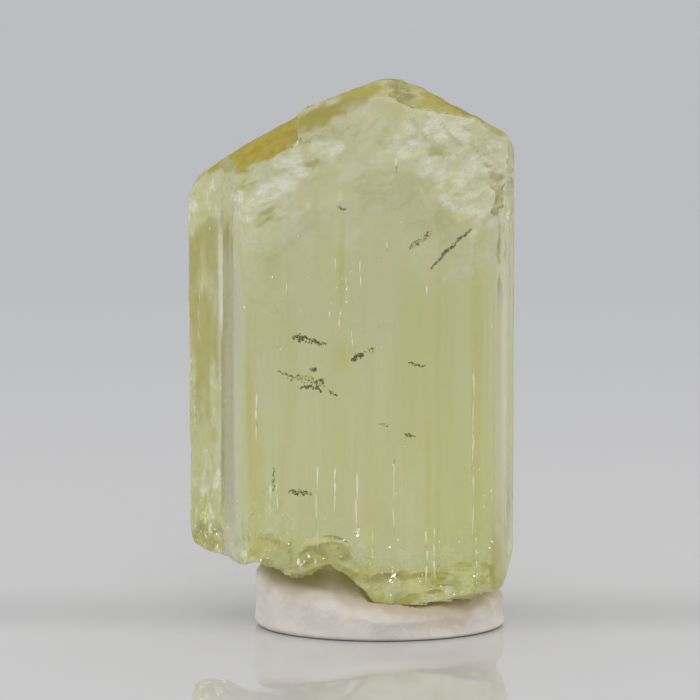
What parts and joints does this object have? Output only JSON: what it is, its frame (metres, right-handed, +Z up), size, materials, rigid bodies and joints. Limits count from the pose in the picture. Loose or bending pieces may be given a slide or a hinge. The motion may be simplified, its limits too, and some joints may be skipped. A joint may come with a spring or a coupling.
{
  "type": "mounted tanzanite crystal",
  "caption": "Rough pale yellow-green zoisite prism with a ribbed front and a gabled top, stood upright in a small pad of white mounting putty.",
  "frame": {"origin": "on the surface that the putty pad rests on, under the middle of the width and depth", "axes": "+Z up along the prism's length, +X to the right seen from the front, -Y out of the broad front face"},
  "size_m": [0.0126, 0.0082, 0.0213],
  "materials": {
    "crystal": "clear pale yellow-green gem, glossy on the ribbed prism faces and frosted where it is etched",
    "putty": "matt white putty, finely grained"
  },
  "bodies": {
    "root": {"crystal": "crystal", "putty_pad": "putty"}
  },
  "joints": []
}
